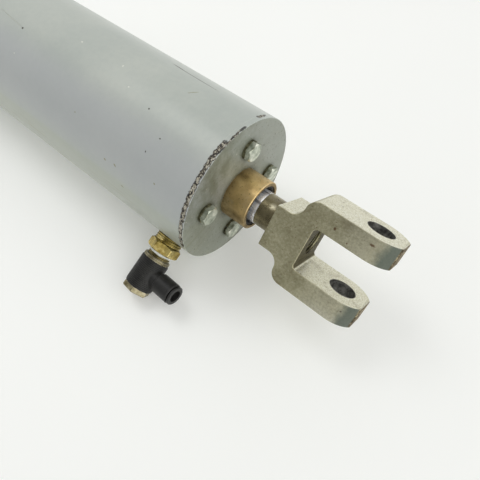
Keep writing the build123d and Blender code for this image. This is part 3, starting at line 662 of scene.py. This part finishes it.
def lock_steel(name):
    """Oily dark spring steel of the lock washers."""
    look = Look(name)
    film = look.noise(260, 4, 0.65)
    colour = look.ramp(
        film, (0.34, (0.035, 0.034, 0.018)), (0.52, (0.115, 0.112, 0.062)), (0.70, (0.300, 0.290, 0.180))
    )
    rim = look.edge(0.0004, 0.05, 0.35)
    colour = look.tint(colour, rim, 0.35, (0.42, 0.41, 0.30))
    relief = look.bump(film, 0.0002, 0.6)
    rough = look.times_plus(film, 0.30, 0.35)
    return look.done(colour, rough, relief, metallic=0.75)


def casting(name):
    """Grey painted iron casting of the rear eye, sand texture under the paint."""
    look = Look(name)
    broad = look.noise(30, 4, 0.6)
    sand = look.noise(620, 4, 0.7)
    colour = look.ramp(broad, (0.35, (0.300, 0.325, 0.300)), (0.65, (0.400, 0.420, 0.380)))
    # painted shade in the casting's inner corners
    corner = look.hollow_shade(0.008, 0.45, 0.97)
    colour = look.tint(colour, corner, 0.65, (0.085, 0.085, 0.055))
    rim = look.edge(0.0010, 0.05, 0.35)
    worn = look.times(rim, look.smooth(look.noise(190, 4, 0.65), 0.48, 0.62))
    colour = look.mix(worn, colour, (0.200, 0.165, 0.120))
    relief = look.bump(sand, 0.0006, 0.40)
    relief = look.bump(broad, 0.0010, 0.20, relief)
    rough = look.times_plus(sand, 0.22, 0.42)
    return look.done(colour, rough, relief, metallic=0.0, ior=1.5)


# ---- rubber and plastics ---------------------------------------------------------------------
def rubber(name):
    look = Look(name)
    bloom = look.noise(140, 4, 0.6)
    colour = look.ramp(bloom, (0.35, (0.010, 0.010, 0.010)), (0.68, (0.040, 0.039, 0.036)))
    rim = look.edge(0.0005, 0.05, 0.35)
    colour = look.tint(colour, rim, 0.35, (0.085, 0.083, 0.078))
    relief = look.bump(look.noise(1600, 3, 0.6), 0.00012, 0.45)
    rough = look.times_plus(bloom, 0.28, 0.42)
    return look.done(colour, rough, relief, metallic=0.0, ior=1.5)


def black_plastic(name):
    look = Look(name)
    cloud = look.noise(110, 4, 0.6)
    grain = look.noise(2300, 2, 0.6)
    colour = look.ramp(cloud, (0.34, (0.0125, 0.0125, 0.0130)), (0.68, (0.0300, 0.0295, 0.0275)))
    # painted shade in the gaps between the ribs and parts
    gap = look.hollow_shade(0.002, 0.30, 0.90)
    colour = look.tint(colour, gap, 0.6, (0.010, 0.009, 0.004))
    # lighter edges and rib crests: painted highlight
    rim = look.edge(0.0005, 0.04, 0.30)
    colour = look.tint(colour, rim, 0.45, (0.110, 0.112, 0.100))
    dust = look.smooth(look.noise(750, 3, 0.6), 0.66, 0.72)
    colour = look.tint(colour, dust, 0.30, (0.16, 0.16, 0.14))
    relief = look.bump(grain, 0.00008, 0.5)
    rough = look.times_plus(cloud, 0.22, 0.34)
    return look.done(colour, rough, relief, metallic=0.0, ior=1.36)


def tan_plastic(name):
    look = Look(name)
    cloud = look.noise(90, 4, 0.6)
    fibre = look.noise(800, 3, 0.6, stretch=(0.3, 1, 1))
    colour = look.ramp(cloud, (0.34, (0.340, 0.205, 0.100)), (0.68, (0.520, 0.350, 0.190)))
    colour = look.tint(colour, look.smooth(fibre, 0.55, 0.70), 0.30, (0.62, 0.46, 0.28))
    relief = look.bump(fibre, 0.0001, 0.5)
    rough = look.times_plus(cloud, 0.2, 0.45)
    return look.done(colour, rough, relief, metallic=0.0, ior=1.45)


def sealant(name):
    look = Look(name)
    cloud = look.noise(240, 4, 0.6)
    colour = look.ramp(
        cloud, (0.32, (0.60, 0.59, 0.50)), (0.55, (0.82, 0.82, 0.77)), (0.72, (0.92, 0.92, 0.89))
    )
    # darker, yellower in the creases: painted shade
    gap = look.hollow_shade(0.0012, 0.25, 0.85)
    colour = look.tint(colour, gap, 0.6, (0.42, 0.38, 0.22))
    relief = look.bump(look.noise(1300, 3, 0.6), 0.00015, 0.6)
    rough = look.times_plus(cloud, 0.25, 0.30)
    return look.done(colour, rough, relief, metallic=0.0, ior=1.45, subsurface_weight=0.1)


# ---- every CAD node gets its look ------------------------------------------------------------
LOOKS = {
    "barrel_paint": paint("barrel_paint"),
    "eye_casting": casting("eye_casting"),
    "head_alloy": machined("head_alloy", (0.50, 0.50, 0.49), (0.78, 0.78, 0.77), 0.22),
    "bolt_zinc": zinc("bolt_zinc"),
    "bronze": bronze("bronze"),
    "fitting_brass": brass("fitting_brass"),
    "rod_chrome": chrome("rod_chrome"),
    "clevis_steel": clevis_steel("clevis_steel"),
    "inner_steel": machined("inner_steel", (0.24, 0.24, 0.23), (0.52, 0.52, 0.52), 0.28),
    "black_rubber": rubber("black_rubber"),
    "bearing_plastic": tan_plastic("bearing_plastic"),
    "black_plastic": black_plastic("black_plastic"),
    "white_sealant": sealant("white_sealant"),
}
STEM_BRASS = stem_brass("stem_brass")
LOCK_STEEL = lock_steel("lock_steel")
OWN_LOOK = {
    "front_elbow_stem": STEM_BRASS,
    "rear_elbow_stem": STEM_BRASS,
    "front_lock_washers": LOCK_STEEL,
    "rear_lock_washers": LOCK_STEEL,
}


def dress(piece, look):
    piece.data.materials.clear()
    piece.data.materials.append(look)


for part in RECORD["subparts"]:
    node_name = part["node"]
    dress(NODES[node_name], OWN_LOOK.get(node_name, LOOKS[part["material_slot"]]))


# ---- pieces built in mesh code ---------------------------------------------------------------
def add_piece(name, shape, body, slot, look=None):
    points, faces = shape
    mesh = bpy.data.meshes.new(name)
    mesh.from_pydata(points, [], faces)
    mesh.update()
    mesh.polygons.foreach_set("use_smooth", [True] * len(mesh.polygons))
    mesh.set_sharp_from_angle(angle=math.radians(38))
    piece = bpy.data.objects.new(name, mesh)
    bpy.context.scene.collection.objects.link(piece)
    dress(piece, look or LOOKS[slot])
    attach(piece, body)
    return piece


def spokes(axis, count):
    """count unit vectors square to the axis, evenly spaced once round it."""
    first = axis.orthogonal().normalized()
    second = axis.cross(first)
    angles = [2 * math.pi * step / count for step in range(count)]
    return [first * math.cos(angle) + second * math.sin(angle) for angle in angles]


def skin(rings, corners, base=0, closed=False):
    """Faces over a row of rings of corners, which closes on itself or has capped ends."""
    faces = []
    for ring in range(rings if closed else rings - 1):
        here = base + ring * corners
        onward = base + (ring + 1) % rings * corners
        for corner in range(corners):
            beside = (corner + 1) % corners
            faces.append((here + corner, here + beside, onward + beside, onward + corner))
    if not closed:
        last = base + (rings - 1) * corners
        faces.append(tuple(reversed(range(base, base + corners))))
        faces.append(tuple(range(last, last + corners)))
    return faces


def helix_ridge(at, axis, root_r, crest_r, pitch, start, end):
    """One closed screw ridge about the axis, from start to end along it, fading at both ends."""
    per_turn = 72
    fade_over = per_turn // 5
    turned = spokes(axis, per_turn)
    count = int((end - start) / pitch * per_turn)
    inner_r = root_r - math.copysign(0.35 * MM, crest_r - root_r)
    points = []
    for step in range(count + 1):
        spoke = turned[step % per_turn]
        height = start + pitch * step / per_turn
        fade = min(1.0, (min(step, count - step) + 1) / fade_over)
        wobble = 1.0 + 0.10 * noise.noise(Vector((step * 0.11, start * 900, root_r * 500)))
        crest = root_r + (crest_r - root_r) * fade * min(wobble, 1.0)
        half = 0.42 * pitch * fade
        half_crest = 0.05 * pitch
        section = (
            (inner_r, -half),
            (root_r, -half),
            (crest, -half_crest),
            (crest, half_crest),
            (root_r, half),
            (inner_r, half),
        )
        for radius, offset in section:
            points.append(at + axis * (height + offset) + spoke * radius)
    return points, skin(count + 1, len(section))


def lumpy_ring(at, axis, inner_r, outer_r, low, high, seed):
    """A bead squeezed out round a thread: closed ring, uneven in width and height."""
    around, corners = 120, 14
    mid_r, half_w = (inner_r + outer_r) / 2, (outer_r - inner_r) / 2
    points = []
    for spoke in spokes(axis, around):
        swell = 1.0 + 0.30 * noise.noise(spoke * 2.3 + Vector((seed, 0, 0)))
        tall = (high - low) * (0.95 + 0.30 * noise.noise(spoke * 1.9 + Vector((0, seed, 3))))
        for corner in range(corners):
            phase = 2 * math.pi * corner / corners
            bulge = half_w * swell * (1 if math.cos(phase) > 0 else 0.5)
            radius = mid_r + bulge * math.cos(phase)
            height = low + tall * (0.5 + 0.5 * math.sin(phase))
            point = at + axis * height + spoke * radius
            point += spoke * (0.18 * MM * noise.noise(point * 900))
            points.append(point)
    return points, skin(around, corners, closed=True)


def kept_arcs(ring, keep):
    """The unbroken runs of spokes that keep allows, in order round the ring."""
    arcs = [[]]
    for spoke in ring:
        if keep(spoke):
            arcs[-1].append(spoke)
        elif arcs[-1]:
            arcs.append([])
    return [arc for arc in arcs if len(arc) >= 4]


def rib_rings(at, axis, radius, height, pitch, stations, keep):
    """Fine ribs round a sleeve, each one a low closed arc where keep allows it."""
    ring = spokes(axis, 96)
    ring.append(ring[0])
    sunk = -0.15 * MM
    points, faces = [], []
    for station in stations:
        for arc in kept_arcs(ring, lambda spoke: keep(spoke, station)):
            base = len(points)
            for place, spoke in enumerate(arc):
                lift = height * min(1.0, (min(place, len(arc) - 1 - place) + 0.3) / 2)
                for out, along in ((sunk, -0.34), (lift, -0.12), (lift, 0.12), (sunk, 0.34)):
                    points.append(at + axis * (station + along * pitch) + spoke * (radius + out))
            faces += skin(len(arc), 4, base)
    return points, faces


# ---- screw threads, sealant and sleeve ribs of each port fitting -----------------------------
# Heights run outwards along the port's axis, from the point OUTLET_H inwards of the swivel.
OUTLET_H = 31.3 * MM
HEXAGON_H = 4.3 * MM
REDUCER_END_H = 12.2 * MM
BEAD_END_H = 14.3 * MM
FLANGE_H = 17.4 * MM
SLEEVE_H = 19.6 * MM
SLEEVE_R = 10.9 * MM
FLANGE_R = 10.3 * MM
WAIST_R = 8.0 * MM
BEAD_R = (8.2 * MM, 9.75 * MM)
# root radius, crest radius and pitch
REDUCER_THREAD = (10.3 * MM, 10.68 * MM, 1.81 * MM)
STEM_THREAD = (8.3 * MM, 8.95 * MM, 1.41 * MM)
SOCKET_THREAD = (STUD_R, STUD_R - 0.75 * MM, 1.5875 * MM)
SLEEVE_RIB = {"height": 0.26 * MM, "pitch": 1.30 * MM}
FLANGE_RIB = {"height": 0.32 * MM, "pitch": 0.80 * MM}
SLEEVE_STATIONS = [SLEEVE_H + 1.4 * MM + SLEEVE_RIB["pitch"] * n for n in range(17)]
FLANGE_STATIONS = [FLANGE_H + 0.55 * MM, FLANGE_H + 1.45 * MM]
BEAD_SEEDS = {"front": 3.0, "rear": 8.0}


def all_round(spoke, station):
    return True


def clear_of(outlet):
    """Where sleeve ribs may run: they stop short of the waist of the tube socket."""

    def keep(spoke, station):
        beside = SLEEVE_R * spoke - outlet * (SLEEVE_R * spoke.dot(outlet))
        gap = math.hypot(beside.length, station - OUTLET_H)
        return spoke.dot(outlet) < 0 or gap > WAIST_R

    return keep


for end in ("front", "rear"):
    swivel = JOINTS[f"{end}_elbow_swivel"]
    axis = Vector(swivel["axis"]).normalized()
    foot = Vector(swivel["pos_m"]) - axis * OUTLET_H
    outlet_out = Vector(MOUNTS[f"{end}_port"]["axis"]).normalized()

    thread = helix_ridge(foot, axis, *REDUCER_THREAD, -1.4 * MM, HEXAGON_H + 0.5 * MM)
    add_piece(f"{end}_reducer_thread", thread, "barrel", "fitting_brass")

    thread = helix_ridge(foot, axis, *STEM_THREAD, REDUCER_END_H + 0.3 * MM, FLANGE_H - 0.2 * MM)
    add_piece(f"{end}_stem_thread", thread, "barrel", "fitting_brass")

    bead = lumpy_ring(foot, axis, *BEAD_R, REDUCER_END_H, BEAD_END_H, BEAD_SEEDS[end])
    bead = add_piece(f"{end}_sealant_bead", bead, "barrel", "white_sealant")
    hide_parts(f"{end}_thread_sealant")

    ribs = rib_rings(
        foot, axis, SLEEVE_R, **SLEEVE_RIB, stations=SLEEVE_STATIONS, keep=clear_of(outlet_out)
    )
    add_piece(f"{end}_sleeve_ribs", ribs, f"{end}_elbow", "black_plastic")

    ribs = rib_rings(foot, axis, FLANGE_R, **FLANGE_RIB, stations=FLANGE_STATIONS, keep=all_round)
    add_piece(f"{end}_flange_ribs", ribs, "barrel", "fitting_brass", STEM_BRASS)

# thread that shows in the clevis beyond the end of the rod's stud
thread = helix_ridge(
    Vector((0, 0, 0)), ROD_AXIS, *SOCKET_THREAD, STUD_END + 0.5 * MM, SLOT_X - 0.4 * MM
)
add_piece("clevis_socket_thread", thread, "rod_assembly", "clevis_steel")


# ---- floor, world and lights -----------------------------------------------------------------
def floor_look():
    look = Look("floor")
    cloud = look.noise(3.0, 3)
    colour = look.ramp(cloud, (0.3, (0.845, 0.855, 0.835)), (0.7, (0.870, 0.880, 0.865)))
    dust = look.smooth(look.noise(170, 2, 0.6), 0.76, 0.80)
    colour = look.tint(colour, dust, 0.35, (0.55, 0.52, 0.45))
    relief = look.bump(look.noise(60, 3), 0.0004, 0.10)
    # the floor glows faintly: light from the floor that lifts the shadows on it and lights the object from below
    return look.done(
        colour,
        look.times_plus(cloud, 0.2, 0.35),
        relief,
        metallic=0.0,
        emission_strength=0.147,
        emission_color=(1, 1, 0.98, 1),
    )


bpy.ops.mesh.primitive_plane_add(size=8, location=(0.3, 0, FLOOR_Z))
floor = bpy.context.object
floor.name = "floor"
floor.data.materials.append(floor_look())


def build_world(base, glows):
    """Even soft light with broad glows: (direction, sharpness, level) each."""
    world = bpy.data.worlds.new("studio")
    world.use_nodes = True
    bpy.context.scene.world = world
    tree = world.node_tree
    coords = tree.nodes.new("ShaderNodeTexCoord")
    total = base
    for direction, sharpness, level in glows:
        facing = tree.nodes.new("ShaderNodeVectorMath")
        facing.operation = "DOT_PRODUCT"
        facing.inputs[1].default_value = Vector(direction).normalized()
        tree.links.new(coords.outputs["Generated"], facing.inputs[0])
        ahead = tree.nodes.new("ShaderNodeMath")
        ahead.operation = "MAXIMUM"
        ahead.inputs[1].default_value = 0.0
        tree.links.new(facing.outputs["Value"], ahead.inputs[0])
        shaped = tree.nodes.new("ShaderNodeMath")
        shaped.operation = "POWER"
        shaped.inputs[1].default_value = sharpness
        tree.links.new(ahead.outputs[0], shaped.inputs[0])
        summed = tree.nodes.new("ShaderNodeMath")
        summed.operation = "MULTIPLY_ADD"
        summed.inputs[1].default_value = level
        tree.links.new(shaped.outputs[0], summed.inputs[0])
        if isinstance(total, float):
            summed.inputs[2].default_value = total
        else:
            tree.links.new(total, summed.inputs[2])
        total = summed.outputs[0]
    tree.links.new(total, tree.nodes["Background"].inputs["Strength"])
    tree.nodes["Background"].inputs["Color"].default_value = (1.0, 1.0, 0.985, 1)


def area_light(name, at, aim, size, energy):
    data = bpy.data.lights.new(name, "AREA")
    data.shape = "RECTANGLE"
    data.size, data.size_y = size
    data.energy = energy
    light = bpy.data.objects.new(name, data)
    light.location = at
    light.rotation_euler = (Vector(aim) - Vector(at)).to_track_quat("-Z", "Y").to_euler()
    bpy.context.scene.collection.objects.link(light)


build_world(
    base=0.21,
    glows=[
        ((0.9, 0, 0.4), 3.0, 1.95),
        ((-0.9, 0, 0.4), 3.0, 0.65),
        ((0, 0.9, 0.4), 3.0, 0.53),
    ],
)
area_light("top", at=(-0.28, 0.09, 1.30), aim=(0.45, 0.0, 0.0), size=(0.60, 0.60), energy=3.2)
